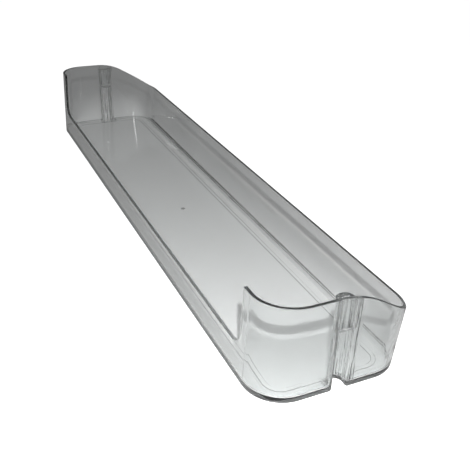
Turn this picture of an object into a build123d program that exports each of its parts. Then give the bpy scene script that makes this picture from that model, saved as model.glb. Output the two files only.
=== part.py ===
"""Clear fridge door shelf: one moulded tray that hangs on two lugs of the door liner."""
import os
from math import cos, radians, sin, sqrt, tan

from build123d import *

os.makedirs("parts", exist_ok=True)

# Driving dimensions of the tray, in millimetres and degrees.
base_length = 496.0
base_depth = 100.0
end_height = 64.2
front_height = 39.2
lip_height = 23.2
wall = 2.2
floor = 2.3
front_lean = 5.3
back_lean = 1.75
end_lean = 0.33
back_radius = 24.6
front_radius = 24.0
bottom_radius = 1.0
inside_radius = 2.4

# The rim of each end sweeps down to the front: a round shoulder, a straight slope, a round toe.
shoulder_radius = 50.0
slope_angle = 30.5
toe_radius = 12.0
toe_margin = 1.0

# The back is open above the lip, between two short returns.
return_length = 6.5
return_foot_radius = 11.0

# The shelf stands on a bead that runs round under the floor, and the gate stub stays clear.
foot_height = 0.3
foot_width = 2.8
foot_end_margin = 10.0
foot_side_margin = 12.0
foot_radius = 11.0
gate_radius = 1.6
gate_height = 0.2

# A lug channel in the middle of each end wall: open below and outward, closed by a roof.
channel_from_back = 51.0
channel_width = 8.6
channel_depth = 8.4
channel_height = 41.2
channel_wall = 1.8
channel_corner = 3.6
channel_draft = 0.3
mouth_radius = 1.9
roof = 1.8

# The bump round the channel goes on above the roof as a hollow rib, open at its top.
rib_drop = 1.2
rib_root = 1.4
hollow_width = 8.0
hollow_depth = 4.2
hollow_corner = 3.2

# Cutting bodies reach this far past the tray.
clear = 20.0

# Places that follow from the sizes above; the box of the whole shelf is centred on the origin.
overhang = front_height * tan(radians(front_lean))
foot_draw = (foot_height + bottom_radius) * tan(radians(back_lean))
foot_draw += bottom_radius * (1 / cos(radians(back_lean)) - 1)
back_y = (base_depth + overhang + foot_draw) / 2
front_y = back_y - base_depth
middle_y = back_y - base_depth / 2
half_length = base_length / 2
return_x = half_length - back_radius - return_length
front_top_y = front_y - overhang
floor_top = foot_height + floor
toe_y = front_top_y - toe_margin + toe_radius * tan(radians(slope_angle / 2))
shoulder_y = toe_y + (end_height - front_height) / tan(radians(slope_angle))
shoulder_start = shoulder_y + shoulder_radius * tan(radians(slope_angle / 2))
foot_length = base_length - 2 * foot_end_margin
foot_depth = base_depth - 2 * foot_side_margin
channel_y = back_y - channel_from_back
channel_face = half_length - channel_depth
bump_face = channel_face - channel_wall
bump_side = channel_width / 2 + channel_wall
bump_reach = channel_depth + channel_wall - 0.6 * wall
bump_foot = foot_height + floor / 2
ledge = channel_height + roof
hollow_back = half_length + ledge * tan(radians(end_lean)) - wall


def outline(height, inset):
    """The tray's plan at a height, drawn in from the outside by an inset."""
    half = half_length + height * tan(radians(end_lean)) - inset
    back = back_y - height * tan(radians(back_lean)) - inset
    front = front_y - height * tan(radians(front_lean)) + inset
    with BuildSketch(Plane.XY.offset(height)) as plan:
        with Locations((0, (back + front) / 2)):
            Rectangle(2 * half, back - front)
        fillet(plan.vertices().group_by(Axis.Y)[-1], back_radius - inset)
        fillet(plan.vertices().group_by(Axis.Y)[0], front_radius - inset)
    return plan.sketch


def rim_height(y):
    """The height of an end's rim at a place along the depth."""
    past_start = max(shoulder_start - y, 0)
    if past_start < shoulder_radius * sin(radians(slope_angle)):
        return end_height - shoulder_radius + sqrt(shoulder_radius**2 - past_start**2)
    return front_height + (y - toe_y) * tan(radians(slope_angle))


rib_top = rim_height(channel_y - bump_side - rib_root) - rib_drop

# Everything above the rim: its profile sweeps down from the ends to the front, and the back is
# open between the returns.
with BuildPart() as above_rim:
    with BuildSketch(Plane.YZ) as rim_profile:
        with BuildLine():
            sweep_down = FilletPolyline(
                (back_y + clear, end_height),
                (shoulder_y, end_height),
                (toe_y, front_height),
                (front_top_y - clear, front_height),
                radius=[shoulder_radius, toe_radius],
            )
            Polyline(
                sweep_down @ 1,
                (front_top_y - clear, end_height + 2 * clear),
                (back_y + clear, end_height + 2 * clear),
                sweep_down @ 0,
            )
        make_face()
    extrude(amount=half_length + clear, both=True)

    with BuildSketch(Plane.XZ.offset(-middle_y)) as back_opening:
        with Locations((0, lip_height)):
            Rectangle(2 * return_x, end_height + 2 * clear - lip_height, align=(Align.CENTER, Align.MIN))
        fillet(back_opening.vertices().group_by(Axis.Y)[0], return_foot_radius)
    extrude(amount=-base_depth)

# The bump round a channel, up to just below the rim, drawing in as it rises.
with BuildPart() as bump:
    with BuildSketch(Plane.XY.offset(bump_foot)) as bump_plan:
        with Locations((bump_face, channel_y)):
            Rectangle(bump_reach, 2 * bump_side, align=(Align.MIN, Align.CENTER))
        fillet(bump_plan.vertices().group_by(Axis.X)[0], channel_corner + channel_wall)
    extrude(amount=rib_top - bump_foot)
    sides = bump.faces().filter_by(Plane.XY, reverse=True)
    draft(sides.sort_by(Axis.X)[:-1], Plane.XY.offset(bump_foot), channel_draft)

with BuildPart() as door_shelf:
    # Drafted outer body and its cavity.
    loft(sections=[outline(foot_height, 0), outline(end_height + clear, 0)], ruled=True)
    loft(
        sections=[outline(floor_top, wall), outline(end_height + clear, wall)],
        ruled=True,
        mode=Mode.SUBTRACT,
    )
    fillet(door_shelf.edges().group_by(Axis.Z)[0], bottom_radius)
    fillet(door_shelf.faces().filter_by(Plane.XY).sort_by(Axis.Z)[1].edges(), inside_radius)

    # The ends are made on the right half, which is then mirrored.
    split(bisect_by=Plane.YZ)

    # The bump on the inside of the end wall, with its rounded roots.
    add(bump.part)
    fillet(door_shelf.edges(Select.NEW).filter_by_position(Axis.Z, 0, rib_top - floor), rib_root)

    # The lug channel with its rounded mouth, and the hollow above its roof.
    with BuildSketch(Plane.XY.offset(-clear)) as channel:
        with Locations((channel_face, channel_y)):
            Rectangle(clear, channel_width, align=(Align.MIN, Align.CENTER))
        fillet(channel.vertices().group_by(Axis.X)[0], channel_corner)
    extrude(amount=clear + channel_height, mode=Mode.SUBTRACT)
    fillet(door_shelf.edges(Select.NEW).filter_by_position(Axis.X, half_length - wall, half_length + wall),
           mouth_radius)
    with BuildSketch(Plane.XY.offset(ledge)) as hollow:
        with Locations((hollow_back, channel_y)):
            Rectangle(hollow_depth, hollow_width, align=(Align.MAX, Align.CENTER))
        fillet(hollow.vertices().group_by(Axis.X)[0], hollow_corner)
    extrude(amount=end_height, mode=Mode.SUBTRACT)
    mirror(about=Plane.YZ)

    # The bead that the shelf stands on, and the stub that the moulding gate leaves.
    with BuildSketch() as foot:
        with Locations((0, middle_y)):
            RectangleRounded(foot_length, foot_depth, foot_radius)
            RectangleRounded(foot_length - 2 * foot_width, foot_depth - 2 * foot_width,
                             foot_radius - foot_width, mode=Mode.SUBTRACT)
    extrude(amount=foot_height + floor / 2)
    with BuildSketch(Plane.XY.offset(foot_height - gate_height)):
        with Locations((0, middle_y)):
            Circle(gate_radius)
    extrude(amount=gate_height + floor / 2)

    # The rim cut to its sweep.
    add(above_rim.part, mode=Mode.SUBTRACT)

door_shelf.part.label = "door_shelf"
export_step(door_shelf.part, "parts/door_shelf.step")
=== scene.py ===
import bpy
from mathutils import Matrix, Vector

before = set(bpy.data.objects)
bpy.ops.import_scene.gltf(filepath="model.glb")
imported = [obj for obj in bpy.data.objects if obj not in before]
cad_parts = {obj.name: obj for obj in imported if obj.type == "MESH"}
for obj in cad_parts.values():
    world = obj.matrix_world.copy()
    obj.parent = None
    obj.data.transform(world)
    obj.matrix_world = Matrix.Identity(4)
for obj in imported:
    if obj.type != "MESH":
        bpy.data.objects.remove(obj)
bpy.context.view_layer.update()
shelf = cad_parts["door_shelf"]

WHITE = (1.0, 1.0, 1.0, 1.0)

# Places on the shelf that its material follows, in metres.
RIB_START, RIB_FULL = 0.2345, 0.2375
CHANNEL_CLEAR, CHANNEL_FULL = 0.0095, 0.0075
BOTTOM_CLEAR, BOTTOM_FULL = 0.0009, 0.0003
OUTER_END, OUTER_SIDE = 0.241, 0.042
GATE, GATE_RADIUS = (0.0, 0.00184, 0.0003), 0.0017
RIM_LOWEST = 0.015
SLOPE_FOOT_Y, SLOPE_TOP_Y = -0.0521, -0.0080
FRONT_HEIGHT, END_HEIGHT = 0.0392, 0.0642
RETURN_EDGE, RETURN_FRONT, RETURN_FOOT = 0.2169, 0.03, 0.034

# The plastic: colour of the clear body and of the scar at the gate, tint in the thickness.
CLEAR = (0.924, 0.936, 0.934, 1.0)
SCAR = (0.40, 0.405, 0.403, 1.0)
TINT, TINT_DENSITY = (0.50, 0.53, 0.52, 1.0), 14.0
PLASTIC_IOR = 1.57
FLOW_STRETCH = (9.0, 34.0, 34.0)
DRAW_STRETCH = (520.0, 520.0, 16.0)
HAZE_RANGE = (0.35, 0.75)
GLOSS_RANGE = (0.015, 0.075)
BOTTOM_MATT = 0.4
RIM_MATT = 0.55
RIM_FACING = (0.5, 0.7)

# What the walls let through to the table, by the depth below the rim: a dark band, a bright
# line, then the plain wall.
SHADOW_DEPTH = (-0.002, 0.014)
BAND = (0.29, 0.29, 0.29, 1.0)
WALL = (0.62, 0.624, 0.623, 1.0)
SHADOW_STOPS = ((0.08, BAND), (0.44, BAND), (0.47, WHITE), (0.64, WHITE), (0.72, WALL))

# The moulding's edges.
WELD_DISTANCE = 0.00001
EDGE_ROUNDING, EDGE_SEGMENTS, EDGE_ANGLE = 0.00028, 3, 0.87
NORMAL_WEIGHT = 50

# The stage: table, lamp, card and world.
TABLE_SIZE, TABLE_TOP = 12.0, -0.0003
TABLE_COLOUR = (0.86, 0.86, 0.86, 1.0)
TABLE_SEEN, TABLE_IN_PLASTIC = 0.9, 0.05
SHELF_MIDDLE = Vector((0.0, 0.0, 0.0))
KEY_PLACE = Vector((-0.492, 0.173, 0.321))
KEY_WIDTH, KEY_HEIGHT, KEY_POWER = 0.004, 0.002, 1.82
CARD_PLACE = Vector((-0.505, 0.185, 0.335))
CARD_SCALE, CARD_STRENGTH = (0.15, 0.22, 1.0), 9.0
WORLD_DIM, WORLD_MORE_IN_PLASTIC = 0.12, 0.2

# The camera, fitted to the outlines of the shelf in the photograph.
EYE = Vector((-0.49243, 0.19059, 0.26525))
AHEAD = Vector((0.78845674, -0.38425112, -0.48029892)).normalized()
UPWARD = Vector((0.44867656, -0.17484277, 0.87642418))
SENSOR_WIDTH, LENS, CLIP_START = 36.0, 51.96, 0.01

# Sockets of a Mix node for colours, which share their names with those for numbers.
MIX_FACTOR, MIX_A, MIX_B, MIX_RESULT = 0, 6, 7, 2


def node(tree, kind, inputs=None, **settings):
    """A shader node with its properties set, and its inputs set or linked."""
    made = tree.nodes.new(kind)
    for name, value in settings.items():
        setattr(made, name, value)
    for name, value in (inputs or {}).items():
        if isinstance(value, bpy.types.NodeSocket):
            tree.links.new(value, made.inputs[name])
        else:
            made.inputs[name].default_value = value
    return made


def calc(tree, operation, *values):
    """The result of a Math node on numbers and other nodes' outputs."""
    return node(tree, "ShaderNodeMath", dict(enumerate(values)), operation=operation).outputs["Value"]


def ramp(tree, value, start, end, low=0.0, high=1.0):
    """A value brought from one range to another and held at both ends."""
    made = node(tree, "ShaderNodeMapRange", {
        "Value": value, "From Min": start, "From Max": end, "To Min": low, "To Max": high,
    })
    return made.outputs["Result"]


def mixed(tree, factor, first, second):
    """The colour between two others."""
    made = node(tree, "ShaderNodeMix", {MIX_FACTOR: factor, MIX_A: first, MIX_B: second}, data_type="RGBA")
    return made.outputs[MIX_RESULT]


def stretched(tree, spot, scale):
    """A place scaled along each axis, for noise drawn out one way."""
    return node(tree, "ShaderNodeMapping", {"Vector": spot, "Scale": scale}).outputs["Vector"]


def noise(tree, spot, scale, detail, roughness):
    """Noise over a place."""
    made = node(tree, "ShaderNodeTexNoise", {
        "Vector": spot, "Scale": scale, "Detail": detail, "Roughness": roughness,
    })
    return made.outputs["Fac"]


def bump(tree, height, strength, distance, **under):
    """A bump, over another one where that is given as Normal."""
    made = node(tree, "ShaderNodeBump", {
        "Height": height, "Strength": strength, "Distance": distance, **under,
    })
    return made.outputs["Normal"]


def new_material(name):
    """An empty node material with its output."""
    material = bpy.data.materials.new(name)
    material.use_nodes = True
    material.node_tree.nodes.clear()
    output = material.node_tree.nodes.new("ShaderNodeOutputMaterial")
    return material, material.node_tree, output


def turned_to(place, target):
    """The rotation of a lamp or card that faces a target."""
    return (target - place).to_track_quat("-Z", "Y").to_euler()


def moulded_normal(tree, spot, from_middle, aside):
    """Slow waves of the flow, a fine unevenness of the polish, and draw marks up the lug channels."""
    waves = noise(tree, stretched(tree, spot, FLOW_STRETCH), scale=1.0, detail=1.5, roughness=0.4)
    flow = bump(tree, waves, strength=0.05, distance=0.001)
    polish = noise(tree, spot, scale=420.0, detail=3.0, roughness=0.6)
    polished = bump(tree, polish, strength=0.02, distance=0.0002, Normal=flow)

    at_end = ramp(tree, from_middle, RIB_START, RIB_FULL)
    at_channel = ramp(tree, aside, CHANNEL_CLEAR, CHANNEL_FULL)
    marks = noise(tree, stretched(tree, spot, DRAW_STRETCH), scale=1.0, detail=2.0, roughness=0.5)
    centred = calc(tree, "SUBTRACT", marks, 0.5)
    height = calc(tree, "MULTIPLY", centred, calc(tree, "MULTIPLY", at_end, at_channel))
    return bump(tree, height, strength=1.0, distance=0.0016, Normal=polished)


def moulded_roughness(tree, spot, height, from_middle, aside):
    """Glossy with patches of handling haze; the outer bottom edge and the rim are matt."""
    haze = noise(tree, spot, scale=26.0, detail=5.0, roughness=0.65)
    gloss = ramp(tree, haze, *HAZE_RANGE, *GLOSS_RANGE)

    bottom = ramp(tree, height, BOTTOM_CLEAR, BOTTOM_FULL, high=BOTTOM_MATT)
    near_end = calc(tree, "GREATER_THAN", from_middle, OUTER_END)
    near_side = calc(tree, "GREATER_THAN", aside, OUTER_SIDE)
    outer_bottom = calc(tree, "MULTIPLY", bottom, calc(tree, "MAXIMUM", near_end, near_side))

    facing = node(tree, "ShaderNodeNewGeometry").outputs["True Normal"]
    facing_up = node(tree, "ShaderNodeSeparateXYZ", {"Vector": facing}).outputs["Z"]
    upward = ramp(tree, facing_up, *RIM_FACING, high=RIM_MATT)
    on_rim = calc(tree, "MULTIPLY", upward, calc(tree, "GREATER_THAN", height, RIM_LOWEST))
    return calc(tree, "MAXIMUM", gloss, calc(tree, "MAXIMUM", outer_bottom, on_rim))


def shadow_colour(tree, depth, height, from_middle):
    """The light that a wall lets through, by how far below the rim or in from a return it is."""
    rim = ramp(tree, depth, SLOPE_FOOT_Y, SLOPE_TOP_Y, FRONT_HEIGHT, END_HEIGHT)
    below = calc(tree, "SUBTRACT", rim, height)
    low = calc(tree, "LESS_THAN", height, RETURN_FOOT)
    forward = calc(tree, "LESS_THAN", depth, RETURN_FRONT)
    elsewhere = calc(tree, "MAXIMUM", low, forward)
    beside = calc(tree, "ADD", calc(tree, "SUBTRACT", from_middle, RETURN_EDGE), elsewhere)
    inward = calc(tree, "MINIMUM", below, beside)

    passing = node(tree, "ShaderNodeValToRGB", {"Fac": ramp(tree, inward, *SHADOW_DEPTH)})
    stops = passing.color_ramp.elements
    first, *between, last = SHADOW_STOPS
    stops[0].position, stops[0].color = first
    stops[1].position, stops[1].color = last
    for position, colour in between:
        stops.new(position).color = colour

    # A wall dims the light once, at the face where it leaves.
    leaving = node(tree, "ShaderNodeNewGeometry").outputs["Backfacing"]
    return mixed(tree, leaving, WHITE, passing.outputs["Color"])


def clear_plastic():
    """Clear moulded plastic, faintly grey in its thickness, that lets the lamp through."""
    material, tree, output = new_material("clear_plastic_moulded")
    spot = node(tree, "ShaderNodeTexCoord").outputs["Object"]
    split = node(tree, "ShaderNodeSeparateXYZ", {"Vector": spot}).outputs
    depth, height = split["Y"], split["Z"]
    from_middle = calc(tree, "ABSOLUTE", split["X"])
    aside = calc(tree, "ABSOLUTE", depth)

    from_gate = node(tree, "ShaderNodeVectorMath", {0: spot, 1: GATE}, operation="DISTANCE")
    off_gate = calc(tree, "GREATER_THAN", from_gate.outputs["Value"], GATE_RADIUS)
    body = node(tree, "ShaderNodeBsdfPrincipled", {
        "Base Color": mixed(tree, off_gate, SCAR, CLEAR),
        "Transmission Weight": 1.0,
        "IOR": PLASTIC_IOR,
        "Roughness": moulded_roughness(tree, spot, height, from_middle, aside),
        "Normal": moulded_normal(tree, spot, from_middle, aside),
    })
    through = node(tree, "ShaderNodeBsdfTransparent", {
        "Color": shadow_colour(tree, depth, height, from_middle),
    })
    surface = node(tree, "ShaderNodeMixShader", {
        0: node(tree, "ShaderNodeLightPath").outputs["Is Shadow Ray"],
        1: body.outputs["BSDF"],
        2: through.outputs["BSDF"],
    })
    tree.links.new(surface.outputs["Shader"], output.inputs["Surface"])
    tint = node(tree, "ShaderNodeVolumeAbsorption", {"Color": TINT, "Density": TINT_DENSITY})
    tree.links.new(tint.outputs["Volume"], output.inputs["Volume"])
    return material


def table_material():
    """Pale matt table top: white where it is seen, with the shadow of the shelf."""
    material, tree, output = new_material("pale_table")
    path = node(tree, "ShaderNodeLightPath").outputs
    by_plastic = calc(tree, "MAXIMUM", path["Is Glossy Ray"], path["Is Transmission Ray"])
    share = calc(tree, "MULTIPLY", by_plastic, TABLE_IN_PLASTIC)
    glow = node(tree, "ShaderNodeEmission", {
        "Color": WHITE,
        "Strength": calc(tree, "MULTIPLY_ADD", path["Is Camera Ray"], TABLE_SEEN, share),
    })
    matt = node(tree, "ShaderNodeBsdfDiffuse", {"Color": TABLE_COLOUR})
    both = node(tree, "ShaderNodeAddShader", {0: matt.outputs["BSDF"], 1: glow.outputs["Emission"]})
    tree.links.new(both.outputs["Shader"], output.inputs["Surface"])
    material.cycles.emission_sampling = "NONE"
    return material


def card_material():
    """The even glow of the light card."""
    material, tree, output = new_material("light_card")
    shine = node(tree, "ShaderNodeEmission", {"Strength": CARD_STRENGTH})
    tree.links.new(shine.outputs["Emission"], output.inputs["Surface"])
    material.cycles.emission_sampling = "NONE"
    return material


shelf.data.materials.clear()
shelf.data.materials.append(clear_plastic())

# The moulding's edges are slightly rounded.
weld = shelf.modifiers.new("weld", "WELD")
weld.merge_threshold = WELD_DISTANCE
bevel = shelf.modifiers.new("rim", "BEVEL")
bevel.width = EDGE_ROUNDING
bevel.segments = EDGE_SEGMENTS
bevel.limit_method = "ANGLE"
bevel.angle_limit = EDGE_ANGLE
bevel.use_clamp_overlap = False
bevel.harden_normals = False
smooth = shelf.modifiers.new("smooth", "WEIGHTED_NORMAL")
smooth.mode = "FACE_AREA_WITH_ANGLE"
smooth.weight = NORMAL_WEIGHT
smooth.keep_sharp = True

bpy.ops.mesh.primitive_plane_add(size=TABLE_SIZE, location=(0, 0, TABLE_TOP))
table = bpy.context.object
table.name = "table"
table.data.materials.append(table_material())

# The camera at the photograph's viewing angle.
right = AHEAD.cross(UPWARD).normalized()
camera_data = bpy.data.cameras.new("camera")
camera_data.sensor_width = SENSOR_WIDTH
camera_data.lens = LENS
camera_data.clip_start = CLIP_START
camera = bpy.data.objects.new("camera", camera_data)
bpy.context.collection.objects.link(camera)
camera.matrix_world = Matrix((right, right.cross(AHEAD), -AHEAD)).transposed().to_4x4()
camera.location = EYE
bpy.context.scene.camera = camera

# A small lamp just over the lens.
key_data = bpy.data.lights.new("key", "AREA")
key_data.shape = "RECTANGLE"
key_data.size = KEY_WIDTH
key_data.size_y = KEY_HEIGHT
key_data.energy = KEY_POWER
key = bpy.data.objects.new("key", key_data)
bpy.context.collection.objects.link(key)
key.location = KEY_PLACE
key.rotation_euler = turned_to(KEY_PLACE, SHELF_MIDDLE)

# A bright card over the lens, which only gloss shows: the white streak in the far corner.
bpy.ops.mesh.primitive_plane_add(size=1.0, location=CARD_PLACE)
card = bpy.context.object
card.name = "light_card"
card.scale = CARD_SCALE
card.rotation_euler = turned_to(CARD_PLACE, SHELF_MIDDLE)
card.data.materials.append(card_material())
card.visible_camera = False
card.visible_diffuse = False
card.visible_transmission = False
card.visible_volume_scatter = False
card.visible_shadow = False

# The studio's dim light, white where it is seen past the table's end.
world = bpy.data.worlds.new("studio")
bpy.context.scene.world = world
world.use_nodes = True
studio = world.node_tree
rays = node(studio, "ShaderNodeLightPath").outputs
dim = calc(studio, "MULTIPLY_ADD", rays["Is Transmission Ray"], WORLD_MORE_IN_PLASTIC, WORLD_DIM)
background = studio.nodes["Background"]
background.inputs["Color"].default_value = WHITE
studio.links.new(calc(studio, "MAXIMUM", rays["Is Camera Ray"], dim), background.inputs["Strength"])

bpy.context.scene.view_settings.view_transform = "Standard"
